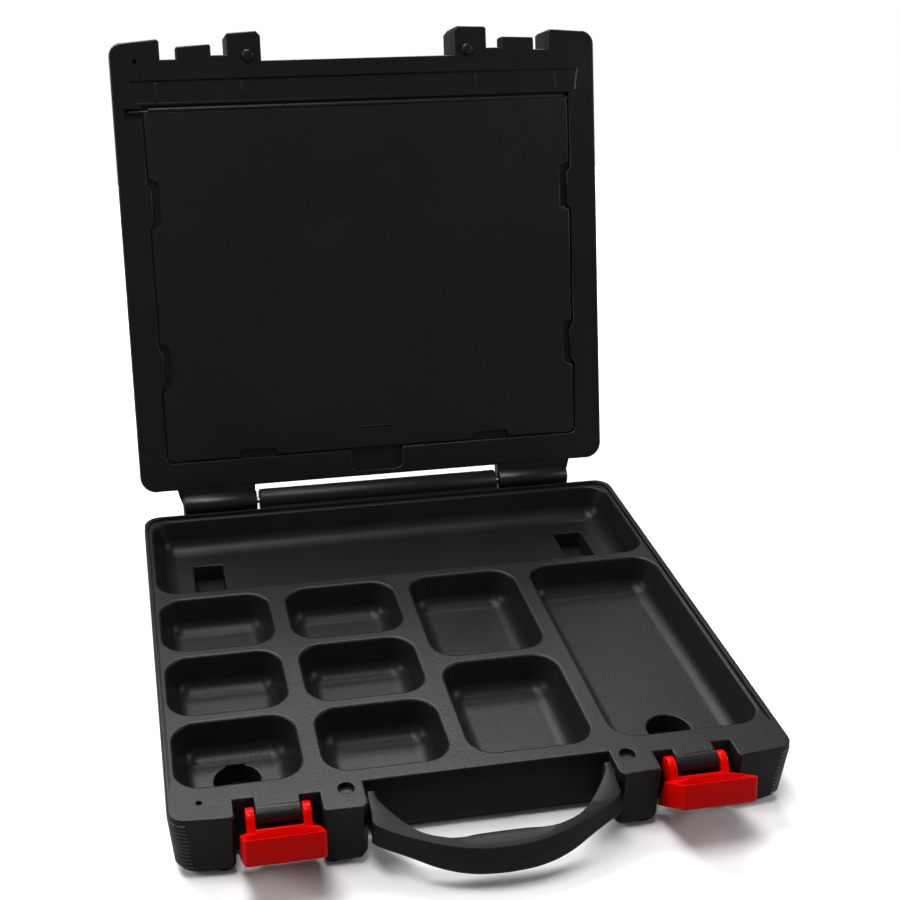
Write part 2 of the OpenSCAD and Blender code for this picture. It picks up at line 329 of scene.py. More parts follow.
def rightHalf(withTab, tabFront):
    # handle recess, ear, latch bay with or without its tab, front corner, side, rear corner
    wide, deep = caseSize["width"] / 2, caseSize["depth"]
    front, rear = caseSize["frontRound"], caseSize["rearRound"]
    recess, ear, latch = (outlineSize[key] for key in ("recessHalf", "earOut", "latchOut"))
    tabIn, tabOut, slotIn, slotOut = (outlineSize[key] for key in ("tabIn", "tabOut", "slotIn", "slotOut"))
    points = [(recess, outlineSize["recessWall"]), (recess, bowY(69) + 3.2), (recess + 2.8, bowY(70))]
    points += [(x, bowY(x)) for x in (76, 82)]
    points += [(ear - 1.2, bowY(90)), (ear, bowY(91) + 1.2), (ear, slotIn), (tabIn, slotIn)]
    if withTab:
        points += [(tabIn, tabFront[0] + 1.0), (tabIn + 1.0, tabFront[0]),
                   (tabOut - 1.0, tabFront[1]), (tabOut, tabFront[1] + 1.0)]
    points += [(tabOut, slotOut), (latch, slotOut)]
    points += [(latch, bowY(136) + 1.6), (latch + 1.6, bowY(137.6))]
    points += [(x, bowY(x)) for x in (143, 149, 155)]
    points += cornerArc(wide - front, bowY(161) + front, front, -84, 84)
    points += [(wide, y) for y in (60, 120, 180, 240)]
    points += cornerArc(wide - rear, deep - rear, rear, 0, 90)
    return points + [(80, deep)]


def fullOutline(withTab, tabFront=(3.4, 4.0)):
    right = rightHalf(withTab, tabFront)
    left = [(-x, y) for x, y in reversed(right)]
    return [(x, y + frontY) for x, y in right + left]


def rimStages(outline, z, soft, down):
    # rounded rim: from a flat support ring over the edge and onto the wall
    stages = [(insetRing(outline, soft + 0.2), z)]
    for i in range(5):
        angle = math.radians(90 * i / 4)
        stages.append((insetRing(outline, soft * (1 - math.sin(angle))),
                       z - down * soft * (1 - math.cos(angle))))
    return stages


def closeTabs(bm, tabRing, plain):
    # caps both latch tabs and gives back the ring of the wall without them
    wallRing = [min(tabRing, key=lambda v: (v.co.x - x) ** 2 + (v.co.y - y) ** 2) for x, y in plain]
    used = set(wallRing)
    for side in (-1, 1):
        roots = [side * outlineSize[key] for key in ("tabIn", "tabOut")]
        loop = [v for v in tabRing if (v not in used and v.co.x * side > 0)
                or (v in used and min(abs(v.co.x - root) for root in roots) < 0.01)]
        bm.faces.new(loop)
    return wallRing


def roundOver(bm, wallRing, plain, face, inwards, soft):
    # rounds the wall over onto the big outer face and gives back the last ring
    rings = []
    for i in range(7):
        angle = math.radians(90 * i / 6)
        rings.append(addRing(bm, insetRing(plain, soft * (1 - math.cos(angle))),
                             face + inwards * soft * (1 - math.sin(angle))))
    for a, b in zip([wallRing] + rings, rings):
        bridge(bm, a, b)
    return rings[-1]


baseSize = {"edge": 1.0, "lowerEdge": 9.0, "tabLow": 11.5, "pocketDeep": 21.0, "pocketRound": 14.0,
            "lip": 1.7, "draft": 3.0, "fillet": 10.0, "troughFillet": 12.0, "wellDeep": 12.0,
            "wellSoft": 0.8, "fingerHole": 12.7, "grooveDeep": 2.4, "barrel": 5.95, "knuckle": 8.0,
            "knuckleHalf": 87.0, "pinHole": 2.05, "holeBack": 50, "sinkAcross": 128.5, "sinkHalf": 10,
            "sinkFront": 235, "sinkBack": 271}
troughBack = 208
smallRows = ((24, 76), (84, 137.5), (145.5, 199.5))
pocketEdges = [(-163.6, -96.6, *row) for row in smallRows] + [(-84.8, -16.4, *row) for row in smallRows]
pocketEdges += [(-4.8, 63.8, 24, 105.2), (-4.8, 63.8, 113.2, 199.5), (75.7, 161.6, 24, 199.5),
                (-163.6, 161.6, troughBack, 298)]
# seal groove round the back and sides: outer edge from right to left, inner edge back again
grooveEdge = [(165.9, 22), (165.9, 294), (163.5, 301.2), (156, 304.9), (-156, 304.9), (-164.2, 301.5),
              (-167.5, 294), (-167.5, 23), (-166.3, 29), (-166.3, 294), (-163.2, 299.2), (-156, 301.0),
              (156, 301.0), (161.9, 298.5), (164.3, 294), (164.3, 29)]
# across, back, radius and depth of the two peg holes and the vent
roundHoles = [(76.8, 9.8, 4.3, 3.0), (-76.8, 9.8, 4.3, 3.0), (-153.0, 12.0, 1.5, 9.0)]


def pocketStages(edges, top):
    x0, x1, y0, y1 = edges[0], edges[1], edges[2] + frontY, edges[3] + frontY
    lip, draft, roundness = baseSize["lip"], baseSize["draft"], baseSize["pocketRound"]
    fillet = baseSize["troughFillet" if edges[2] == troughBack else "fillet"]

    def ring(inset):
        return roundedRing(x0 + inset, x1 - inset, y0 + inset, y1 - inset, max(roundness - inset, 3.0), 10)

    stages = [(ring(-lip - 0.3), top)]
    for i in range(6):
        angle = math.radians(90 * i / 5)
        stages.append((ring(-lip * (1 - math.sin(angle))), top - lip * (1 - math.cos(angle))))
    floor = top - baseSize["pocketDeep"]
    for i in range(15):
        angle = math.radians(8 + 82 * i / 14)
        stages.append((ring(draft + fillet * (1 - math.cos(angle))),
                       floor + fillet * (1 - math.sin(angle))))
    stages.append((ring(draft + fillet + 0.6), floor))
    return stages


def wellsOf(edges):
    # finger holes in two pockets and two rectangular sinks in the trough
    x0, x1, y0, y1 = edges
    if (x0, y0) in ((-163.6, 24), (75.7, 24)):
        return [circleRing((x0 + x1) / 2, baseSize["holeBack"] + frontY, baseSize["fingerHole"], 48)]
    if y0 == troughBack:
        across, half, front, back = (baseSize["sink" + key] for key in ("Across", "Half", "Front", "Back"))
        return [roundedRing(side * across - half, side * across + half, front + frontY, back + frontY,
                            1.6, 4) for side in (-1, 1)]
    return []


def addPocket(bm, edges, top):
    # one pocket with its wells; gives back its ring in the flange
    rings = loft(bm, pocketStages(edges, top))
    floorRings = [rings[-1]]
    floor = top - baseSize["pocketDeep"]
    soft = baseSize["wellSoft"]
    for well in wellsOf(edges):
        turns = [math.radians(a) for a in (0, 30, 60, 90)]
        steps = [(-1.2, 0)] + [(-soft * (1 - math.sin(a)), -soft * (1 - math.cos(a))) for a in turns]
        floorRings.append(loft(bm, sunk(well, floor, steps + [(0, -baseSize["wellDeep"])]), capEnd=True)[0])
    fillFlat(bm, floorRings)
    return rings[0]


def buildBase():
    bm = bmesh.new()
    top = caseSize["baseHigh"]
    withTab, plain = fullOutline(True), fullOutline(False)
    rings = loft(bm, rimStages(withTab, top, baseSize["edge"], 1) + [(withTab, top - baseSize["tabLow"])])
    wallRing = closeTabs(bm, rings[-1], plain)
    fillFlat(bm, [roundOver(bm, wallRing, plain, 0, 1, baseSize["lowerEdge"])])
    holes = [addPocket(bm, edges, top) for edges in pocketEdges]
    groove = [(x, y + frontY) for x, y in grooveEdge]
    grooveSteps = [(-0.2, 0), (0, 0), (0.15, -0.4), (0.25, -baseSize["grooveDeep"])]
    holes.append(loft(bm, sunk(groove, top, grooveSteps), capEnd=True)[0])
    for x, y, radius, deep in roundHoles:
        steps = [(-0.8, 0), (-0.5, 0), (-0.12, -0.12), (0, -0.5), (0, -deep)]
        holes.append(loft(bm, sunk(circleRing(x, y + frontY, radius, 32), top, steps), capEnd=True)[0])
    fillFlat(bm, [rings[0]] + holes)
    # barrels between the latch slots
    barrel = baseSize["barrel"]
    for side in (-1, 1):
        ends = [(side * x, frontY + 4.0, top - 6.2) for x in (101.7, 125.2)]
        tube(bm, *ends, [(0, barrel - 0.45), (0.02, barrel), (0.98, barrel), (1, barrel - 0.45)])
    # knuckle and its web
    half, knuckle, pinHole = baseSize["knuckleHalf"], baseSize["knuckle"], baseSize["pinHole"]
    tube(bm, (-half, hingePoint.y, top), (half, hingePoint.y, top),
         [(0, pinHole), (0, knuckle - 1.1), (0.003, knuckle - 0.3), (0.006, knuckle), (0.994, knuckle),
          (0.997, knuckle - 0.3), (1, knuckle - 1.1), (1, pinHole)], 48, False)
    web = [(-frontY - 0.5, top - 1.0), (-frontY + 2, top - 0.6), (hingePoint.y - 5.0, top - 1.6),
           (hingePoint.y - 1, top - 7.6), (-frontY - 0.5, top - 8.0)]
    ends = [[bm.verts.new((x, y, z)) for y, z in web] for x in (-half + 0.6, half - 0.6)]
    bridge(bm, ends[0], ends[1])
    bm.faces.new(list(reversed(ends[0])))
    bm.faces.new(ends[1])
    return finishPiece("baseBody", bm, drafted=True)


baseBody = buildBase()
baseBody.data.materials.append(casePlastic)
print("base built")

# the lid is drawn closed and turned open about the hinge
lidSize = {"edge": 1.0, "outerEdge": 6.0, "tabTop": 10.8, "tabFront": (1.9, 2.9), "seatDeep": 3.8,
           "binDeep": 26.0, "partingGap": 0.15, "pegX": 76.8, "pegY": 9.8, "peg": 3.9, "knuckle": 8.0,
           "knuckleIn": 89.0, "knuckleOut": 141.0, "pinHole": 2.1, "binHalf": 142.5, "binFront": 52,
           "binBack": 279, "binRound": 10, "fieldHalf": 140, "fieldFront": 32, "fieldBack": 284,
           "fieldRound": 14}
# edge of the panel's seat, with the finger notch at the back and one notch for a pivot stub
seatRight = [(150.4, 41.2), (150.4, 94), (147.6, 98), (147.6, 120), (150.4, 124), (150.4, 206),
             (147.6, 210), (147.6, 232), (150.4, 236), (150.4, 283.5), (149.1, 286.7), (145.9, 288),
             (21, 288), (19.2, 288.7), (18.5, 290.5), (18.5, 300), (17.5, 302.5), (15, 303.5)]
seatLeft = [(-x, y) for x, y in reversed(seatRight)][:-1]
stubNotch = [(-150.4, 50), (-162.5, 50), (-162.5, 43.2), (-150.4, 43.2), (-150.4, 41.2)]
lidStep = [(-157, 25), (157, 25), (155, 39.5), (-155, 39.5)]


def addLidInside(bm, parting):
    # step behind the latches, seat of the panel, bin and vent; gives back their rings in the rim
    step, seat = ([(x, y + frontY) for x, y in edge]
                  for edge in (lidStep, seatRight + seatLeft + stubNotch))
    stepRings = loft(bm, sunk(step, parting, [(-0.7, 0), (-0.4, 0), (0, 0.4), (0.4, 1.0)]), capEnd=True)
    seatFloor = caseSize["baseHigh"] + lidSize["seatDeep"]
    seatSteps = [(-0.9, 0), (-0.7, 0), (-0.35, 0.1), (-0.08, 0.38), (0, 0.75)]
    seatRings = loft(bm, sunk(seat, parting, seatSteps) + [(seat, seatFloor)])
    half, front, back, roundness = (lidSize["bin" + key] for key in ("Half", "Front", "Back", "Round"))
    binRing = roundedRing(-half, half, frontY + front, frontY + back, roundness, 6)
    binRise = lidSize["binDeep"] - lidSize["seatDeep"]
    binRings = loft(bm, sunk(binRing, seatFloor, [(0, 0), (1.0, binRise - 4), (2.2, binRise - 1.2),
                                                  (5.0, binRise)]), capEnd=True)
    fillFlat(bm, [seatRings[-1], binRings[0]])
    vent = circleRing(-152.5, frontY + 12, 1.5, 24)
    ventRings = loft(bm, sunk(vent, parting, [(-0.7, 0), (-0.4, 0), (0, 0.4), (0, 8)]), capEnd=True)
    return [stepRings[0], seatRings[0], ventRings[0]]


def addLidKnuckle(bm, side):
    # outer knuckle with its web
    high, knuckle, pinHole = caseSize["baseHigh"], lidSize["knuckle"], lidSize["pinHole"]
    ends = [(side * lidSize[key], hingePoint.y, high) for key in ("knuckleIn", "knuckleOut")]
    tube(bm, *ends, [(0, pinHole), (0, knuckle - 1.1), (0.01, knuckle - 0.3), (0.02, knuckle),
                     (0.975, knuckle), (0.99, knuckle - 0.4), (1, knuckle - 1.4), (1, pinHole)], 48, False)
    web = [(89.4, -frontY - 1.0), (144.6, -frontY - 1.0), (143.0, -frontY + 5.5), (141.0, hingePoint.y),
           (89.4, hingePoint.y)]
    lowRing, highRing = ([bm.verts.new((side * x, y, z)) for x, y in web]
                         for z in (high + 0.3, high + 7.9))
    bridge(bm, lowRing, highRing)
    bm.faces.new(lowRing)
    bm.faces.new(list(reversed(highRing)))


def buildLid():
    bm = bmesh.new()
    parting = caseSize["baseHigh"] + lidSize["partingGap"]
    top = caseSize["baseHigh"] + caseSize["lidHigh"]
    withTab, plain = fullOutline(True, lidSize["tabFront"]), fullOutline(False)
    rings = loft(bm, rimStages(withTab, parting, lidSize["edge"], -1)
                 + [(withTab, caseSize["baseHigh"] + lidSize["tabTop"])])
    wallRing = closeTabs(bm, rings[-1], plain)
    outerRing = roundOver(bm, wallRing, plain, top, -1, lidSize["outerEdge"])
    # shallow plain field sunk in the outside of the lid
    half, front, back, roundness = (lidSize["field" + key] for key in ("Half", "Front", "Back", "Round"))
    field = roundedRing(-half, half, frontY + front, frontY + back, roundness, 8)
    fieldSteps = [(-0.6, 0), (0, -0.2), (1.2, -1.1), (1.9, -1.3), (2.6, -1.3)]
    fillFlat(bm, [outerRing, loft(bm, sunk(field, top, fieldSteps), capEnd=True)[0]])
    fillFlat(bm, [rings[0]] + addLidInside(bm, parting))
    peg = lidSize["peg"]
    for side in (-1, 1):
        x, y = side * lidSize["pegX"], frontY + lidSize["pegY"]
        tube(bm, (x, y, parting + 1), (x, y, caseSize["baseHigh"] - 2.6),
             [(0, peg), (0.75, peg), (0.92, peg - 0.4), (1, peg - 1.1)], 32)
        addLidKnuckle(bm, side)
        # soft relief marks in the step
        for across, y0, y1 in ((140, 26.5, 38.5), (82, 27, 36)):
            softBlock(bm, (side * across - 1, frontY + y0, parting + 0.35),
                      (side * across + 1, frontY + y1, parting + 1.3), 0.25)
    return finishPiece("lidBody", bm, lidTurn, drafted=True)


lidBody = buildLid()
lidBody.data.materials.append(shadedLidPlastic)
print("lid built")

panelSize = {"half": 149.4, "front": 42.4, "back": 287.2, "low": 1.2, "thick": 2.4, "notch": 6.6,
             "clipIn": 72, "clipOut": 99, "clipDeep": 5, "pivotY": 45.2, "pivotHigh": 2.6}


def panelOutline():
    p = panelSize
    half, notch, back = p["half"], p["half"] - p["notch"], p["back"]
    right = [(half, p["front"] + 3), (half, 90), (notch, 92.5), (notch, 121), (half, 124), (half, 203),
             (notch, 205.5), (notch, 234), (half, 237), (half, back - 3), (half - 3, back)]
    clip = [(p["clipOut"], back), (p["clipOut"] - 2, back - p["clipDeep"]),
            (p["clipIn"] + 2, back - p["clipDeep"]), (p["clipIn"], back)]
    points = right + clip + [(-x, y) for x, y in reversed(right + clip)]
    return [(x, y + frontY) for x, y in points]


def buildPanel():
    bm = bmesh.new()
    half = panelSize["half"]
    low = caseSize["baseHigh"] + panelSize["low"]
    steps = [(1.4, 0), (0.7, 0), (0.2, 0.2), (0, 0.7), (0, panelSize["thick"])]
    loft(bm, sunk(panelOutline(), low, steps), capStart=True, capEnd=True)
    # rounded pivot edge and its two stubs
    pivotY, pivotZ = frontY + panelSize["pivotY"], caseSize["baseHigh"] + panelSize["pivotHigh"]
    tube(bm, (-half + 3, pivotY - 1, pivotZ - 0.4), (half - 3, pivotY - 1, pivotZ - 0.4),
         [(0, 1.3), (0.002, 1.8), (0.998, 1.8), (1, 1.3)], 24)
    tube(bm, (-160, pivotY, pivotZ), (-146, pivotY, pivotZ), [(0, 0.9), (0.03, 1.2), (1, 1.2)], 24)
    tube(bm, (146, pivotY, pivotZ), (156, pivotY, pivotZ), [(0, 1.2), (0.97, 1.2), (1, 0.9)], 24)
    # plain arrowhead that shows which edge lifts
    for side in (-1, 1):
        turn = (Matrix.Translation((-3 + side * 2.4, frontY + 260.4, low))
                @ Matrix.Rotation(math.radians(side * 45), 4, "Z"))
        softBlock(bm, (-3.6, -0.55, -0.35), (3.6, 0.55, 0.4), 0.2, turn)
    return finishPiece("coverPanel", bm, lidTurn)


coverPanel = buildPanel()
coverPanel.data.materials.append(shadedPanelPlastic)
print("panel built")

# the handle is drawn level with its pivot at the origin, then dropped to its stop
handleSize = {"droop": 18.0, "top": 4.5, "hump": 2.8, "dent": 0.8, "armX": 66.5, "eye": 4.6, "stub": 3.0}
handlePivot = Vector((0, frontY + 4, caseSize["baseHigh"] - 7))
handleTurn = Matrix.Translation(handlePivot) @ Matrix.Rotation(math.radians(handleSize["droop"]), 4, "X")
# right half, from the middle of the grip to the end of the arm
outerEdge = [(0, -36.7), (14, -35.9), (28, -32.9), (42, -27.9), (53, -23.0), (61, -18.6), (66.3, -14.2),
             (66.5, -8), (66.5, 0), (66.3, 4.4)]
innerEdge = [(0, -27.8), (11, -27.8), (22, -27.5), (33, -26.0), (43, -21.8), (51, -14.5), (57, -7.2),
             (60, -3), (61.9, 0.6), (62.4, 4.2)]
# underside of the grip and how far its outer face bulges, at the same places
lowAndBulge = [(-14.0, 7.6), (-14.0, 7.6), (-13.9, 7.5), (-13.5, 7.2), (-12.7, 6.6), (-11.2, 5.4),
               (-9.6, 3.4), (-8.0, 1.0), (-7.0, 0.0), (-6.0, 0.0)]


def smoothPath(stations, count):
    # even cubic path through the given points
    points = [Vector(s) for s in stations]
    points = [2 * points[0] - points[1]] + points + [2 * points[-1] - points[-2]]
    out = []
    spans = len(points) - 3
    for k in range(count):
        t = k / (count - 1) * spans
        i = min(int(t), spans - 1)
        u = t - i
        a, b, c, d = points[i:i + 4]
        square, cube = 2 * a - 5 * b + 4 * c - d, 3 * b - a - 3 * c + d
        out.append(0.5 * (2 * b + (c - a) * u + square * u * u + cube * u ** 3))
    return out


def gripSlice(outer, inner, low, bulge):
    # one cross-section, as (place, height) round the grip or arm
    if outer.x > 58:
        bulge = min(bulge, max(0.0, handleSize["armX"] - outer.x) * 1.6)
    top, hump = handleSize["top"], handleSize["hump"]
    across = outer - inner
    span = across.length
    unit = across / span
    high = top - low
    thin = min(1.0, span / 6.0)
    # how much of the finger hump this slice has
    share = min(max((41.0 - outer.x) / 20.0, 0.0), 1.0)
    share = share * share * (3 - 2 * share)

    def part(plain, humped):
        return tuple(a + (b - a) * share for a, b in zip(plain, humped))

    ring = [part((0.7, 0.0), (span - 3.0, 0.0)), (span - thin, 0.0), (span - 0.35 * thin, -0.15),
            (span, -0.6)]
    for k in range(1, 16):
        turn = k / 16
        dent = handleSize["dent"] * (bulge / 7.6) * math.exp(-((turn - 0.47) / 0.07) ** 2)
        swell = bulge * math.sin(math.pi * turn ** 1.45) ** 0.75
        ring.append((span + swell - dent, -0.6 - (high - 1.6) * turn))
    ring += [(span - 0.8 * thin, 0.5 - high), (span - 2.6 * thin, -high), (2.4 * thin, -high),
             (0.8 * thin, 0.8 - high), part((0.15, 2.4 - high), (-hump * 0.35, 2.4 - high)),
             part((0.0, -high * 0.6), (-hump * 0.85, -high * 0.6)), part((0.0, -4.4), (-hump, -5.0)),
             part((0.0, -2.6), (-hump + 0.4, -3.4)), part((0.05, -1.2), (-hump + 1.7, -2.2)),
             part((0.2, -0.5), (span * 0.3, -1.25)), part((0.45, -0.15), (span - 3.5, -1.0))]
    return [(inner + unit * a, top + b) for a, b in ring]


def buildHandle():
    bm = bmesh.new()
    paths = [smoothPath(edge, 46) for edge in (outerEdge, innerEdge, lowAndBulge)]
    right = [gripSlice(outer, inner, shape.x, max(shape.y, 0.0)) for outer, inner, shape in zip(*paths)]
    left = [[(Vector((-p.x, p.y)), z) for p, z in section] for section in reversed(right[1:])]
    rings = [[bm.verts.new((p.x, p.y, z)) for p, z in section] for section in left + right]
    for a, b in zip(rings, rings[1:]):
        bridge(bm, a, b)
    bm.faces.new(rings[0])
    bm.faces.new(list(reversed(rings[-1])))
    # moulded eyes and stubs at the ends of the arms
    eye, stub = handleSize["eye"], handleSize["stub"]
    for side in (-1, 1):
        tube(bm, (side * 62.6, 0, -0.2), (side * 66.4, 0, -0.2),
             [(0, eye - 0.4), (0.1, eye), (0.9, eye), (1, eye - 0.4)], 36)
        tube(bm, (side * 65.5, 0, 0), (side * 73.5, 0, 0), [(0, stub), (0.95, stub), (1, stub - 0.4)], 28)
    return finishPiece("carryHandle", bm, handleTurn, 34)


carryHandle = buildHandle()
carryHandle.data.materials.append(handlePlastic)
print("handle built")

# latches, each drawn about its own pivot with y outwards
latchSize = {"width": 41.4, "wall": 1.9, "drop": 36.9, "across": 113.4, "rim": -6.6, "base": -20.1,
             "back": 3.8, "backLean": 15.8, "front": 33.8, "frontLean": 6.0, "ledge": -7.6, "climb": 1.4,
             "ribY": 17.7, "ribThick": 1.8, "crown": 90.0, "fingerIn": 12.35, "finger": 4.5, "hook": 5.9,
             "nub": 2.04}


def traySpan(z, inset):
    # the tray leans: its back and front walls both slope
    share = (z - latchSize["rim"]) / (latchSize["base"] - latchSize["rim"])
    return (latchSize["back"] - latchSize["backLean"] * share + inset,
            latchSize["front"] - latchSize["frontLean"] * share - inset)


def addTray(bm):
    rim, base, wall, ledge = (latchSize[key] for key in ("rim", "base", "wall", "ledge"))
    half = latchSize["width"] / 2
    outside = [(base, 1.5), (base + 0.12, 0.8), (base + 0.5, 0.3), (base + 1.1, 0.0), (rim - 1.0, 0.0),
               (rim - 0.9, 0.0), (rim - 0.35, 0.1), (rim - 0.1, 0.3), (rim, 0.6)]
    inside = [(rim, wall - 0.6), (rim - 0.1, wall - 0.3), (rim - 0.35, wall - 0.1), (rim - 0.9, wall),
              (ledge, wall)]
    tray = bmesh.new()
    shell = [(roundedRing(-half + inset, half - inset, *traySpan(z, inset), max(2.6 - inset, 0.5), 5), z)
             for z, inset in outside + inside]
    rings = loft(tray, shell, capStart=True)
    # well between the hook rib and the front wall
    wellBack = latchSize["ribY"] + latchSize["ribThick"]
    wellSteps = ((0.25, ledge), (0.6, ledge - 4.0), (1.4, base + 2.6), (2.2, base + 1.9))
    well = [(roundedRing(-half + wall + inset, half - wall - inset, wellBack, traySpan(z, wall + inset)[1],
                         1.6, 5), z) for inset, z in wellSteps]
    fillFlat(tray, [rings[-1], loft(tray, well, capEnd=True)[0]])
    # the ledge climbs towards the barrel
    for v in rings[-1]:
        if v.co.y < 10:
            v.co.z = ledge + latchSize["climb"]
    joinInto(bm, tray)


def addFinger(bm, end):
    # curved finger that holds the barrel, and its nub
    hook, start = latchSize["hook"], latchSize["fingerIn"]
    turns = [math.radians(a) for a in range(205, -31, -14)]
    outline = [(-1.5, -15.0), (-5.4, -6.0)] + [(hook * math.cos(a), hook * math.sin(a)) for a in turns]
    outline += [(5.6, -6.2), (5.9, -15.0)]
    arm = bmesh.new()
    near, far = ([arm.verts.new((x, y, z)) for y, z in outline]
                 for x in sorted((end * start, end * (start + latchSize["finger"]))))
    bridge(arm, near, far)
    arm.faces.new(list(reversed(near)))
    arm.faces.new(far)
    bmesh.ops.recalc_face_normals(arm, faces=arm.faces[:])
    rims = [e for e in arm.edges if abs(e.verts[0].co.x - e.verts[1].co.x) < 0.01]
    bmesh.ops.bevel(arm, geom=rims, offset=0.5, segments=2, profile=0.5, affect="EDGES", clamp_overlap=True)
    joinInto(bm, arm)
    x0, x1 = sorted((end * (start - 3.6), end * (start + 1)))
    tube(bm, (x0, 0, 0), (x1, 0, 0), [(0, latchSize["nub"]), (1, latchSize["nub"])], 20)


def addHookRib(bm):
    # crowned rib that hooks over the lid's tab
    rib = bmesh.new()
    reach, crown, steps = latchSize["width"] / 2 - 1.2, latchSize["crown"], 18
    for y in (latchSize["ribY"], latchSize["ribY"] + latchSize["ribThick"]):
        across = [-reach + 2 * reach * k / steps for k in range(steps + 1)]
        high = [(x, -4.5 - crown + math.sqrt(crown * crown - x * x)) for x in across]
        low = [(x, latchSize["base"] + 2) for x in reversed(across)]
        rib.faces.new([rib.verts.new((x, y, z)) for x, z in high + low])
    bmesh.ops.bridge_loops(rib, edges=rib.edges[:])
    bmesh.ops.recalc_face_normals(rib, faces=rib.faces[:])
    joinInto(bm, rib)


def buildLatch(side):
    bm = bmesh.new()
    addTray(bm)
    for end in (-1, 1):
        addFinger(bm, end)
    addHookRib(bm)
    # strip under the barrel, and two small feet on the outer face
    reach = latchSize["fingerIn"] + 0.3
    softBlock(bm, (-reach, 4.0, -9.0), (reach, 6.2, -4.9), 0.5)
    for end in (-1, 1):
        softBlock(bm, (end * 13 - 3.5, -10.2, -20.4), (end * 13 + 3.5, -5.0, -19.0), 0.5)
    place = (Matrix.Translation((side * latchSize["across"], frontY + 3, caseSize["baseHigh"] - 7))
             @ Matrix.Rotation(math.radians(-latchSize["drop"]), 4, "X") @ Matrix.Diagonal((1, -1, 1, 1)))
    return finishPiece("latchLeft" if side < 0 else "latchRight", bm, place, 42)


latchLeft, latchRight = buildLatch(-1), buildLatch(1)
for latch in (latchLeft, latchRight):
    latch.data.materials.append(latchPlastic)
print("latches built")

# fine ribs round the side walls
ribSize = {"pitch": 2.5, "deep": 0.74, "high": 0.7, "sink": 0.16, "start": 160.8, "baseCount": 12,
           "baseLow": 7.6, "lidCount": 11, "lidLow": 2.6}


def ribTree():
    tree = bpy.data.node_groups.new("ribStack", "GeometryNodeTree")
    # sweeps one rib along the path and stacks copies of it
    for name, kind in (("Path", "Geometry"), ("Pitch", "Float"), ("Deep", "Float"), ("High", "Float"),
                       ("Count", "Int"), ("Finish", "Material")):
        tree.interface.new_socket(name=name, in_out="INPUT", socket_type="NodeSocket" + kind)
    tree.interface.new_socket(name="Ribs", in_out="OUTPUT", socket_type="NodeSocketGeometry")
    nodes, links = tree.nodes, tree.links
    source, result = nodes.new("NodeGroupInput"), nodes.new("NodeGroupOutput")
    offset = nodes.new("ShaderNodeCombineXYZ")
    line = nodes.new("GeometryNodeMeshLine")
    toCurve = nodes.new("GeometryNodeMeshToCurve")
    profile = nodes.new("GeometryNodeCurvePrimitiveCircle")
    profile.inputs["Resolution"].default_value = 4
    squeeze = nodes.new("GeometryNodeTransform")
    stretch = nodes.new("ShaderNodeCombineXYZ")
    sweep = nodes.new("GeometryNodeCurveToMesh")
    sweep.inputs["Fill Caps"].default_value = True
    scatter = nodes.new("GeometryNodeInstanceOnPoints")
    realize = nodes.new("GeometryNodeRealizeInstances")
    finish = nodes.new("GeometryNodeSetMaterial")
    links.new(source.outputs["Pitch"], offset.inputs["Z"])
    links.new(offset.outputs[0], line.inputs["Offset"])
    links.new(source.outputs["Count"], line.inputs["Count"])
    links.new(source.outputs["Path"], toCurve.inputs["Mesh"])
    profile.inputs["Radius"].default_value = 1.0
    links.new(source.outputs["Deep"], stretch.inputs["X"])
    links.new(source.outputs["High"], stretch.inputs["Y"])
    stretch.inputs["Z"].default_value = 1.0
    links.new(profile.outputs["Curve"], squeeze.inputs["Geometry"])
    links.new(stretch.outputs[0], squeeze.inputs["Scale"])
    links.new(toCurve.outputs["Curve"], sweep.inputs["Curve"])
    links.new(squeeze.outputs["Geometry"], sweep.inputs["Profile Curve"])
    links.new(line.outputs["Mesh"], scatter.inputs["Points"])
    links.new(sweep.outputs["Mesh"], scatter.inputs["Instance"])
    links.new(scatter.outputs["Instances"], realize.inputs["Geometry"])
    links.new(realize.outputs["Geometry"], finish.inputs["Geometry"])
    links.new(source.outputs["Finish"], finish.inputs["Material"])
    links.new(finish.outputs["Geometry"], result.inputs["Ribs"])
    return tree


ribGroup = ribTree()


def ribPiece(name, path, count, pitch, turn, finish):
    # path: list of points in millimetres at the lowest rib
    mesh = bpy.data.meshes.new(name + "Path")
    mesh.from_pydata([Vector(p) * mm for p in path], [(i, i + 1) for i in range(len(path) - 1)], [])
    guide = bpy.data.objects.new(name + "Guide", mesh)
    bpy.context.scene.collection.objects.link(guide)
    modifier = guide.modifiers.new("ribs", "NODES")
    modifier.node_group = ribGroup
    sockets = {item.name: item.identifier for item in ribGroup.interface.items_tree
               if item.in_out == "INPUT"}
    modifier[sockets["Pitch"]] = pitch * mm
    modifier[sockets["Deep"]] = ribSize["deep"] * mm
    modifier[sockets["High"]] = ribSize["high"] * mm
    modifier[sockets["Count"]] = count
    modifier[sockets["Finish"]] = finish
    graph = bpy.context.evaluated_depsgraph_get()
    made = bpy.data.meshes.new_from_object(guide.evaluated_get(graph))
    made.name = name
    bpy.data.objects.remove(guide)
    for v in made.vertices:
        v.co.x = sideDraft(v.co.x / mm, v.co.z / mm) * mm
    if turn is not None:
        made.transform(Matrix.Scale(mm, 4) @ turn @ Matrix.Scale(1 / mm, 4))
    piece = bpy.data.objects.new(name, made)
    bpy.context.scene.collection.objects.link(piece)
    return piece


def wallPath(side, z):
    # round the front corner, along the side wall and round the rear corner
    wall = insetRing(fullOutline(False), ribSize["sink"])
    right = wall[:len(wall) // 2]
    return [(side * x, y, z) for x, y in right if x > ribSize["start"] or (x > 100 and y > 0)]


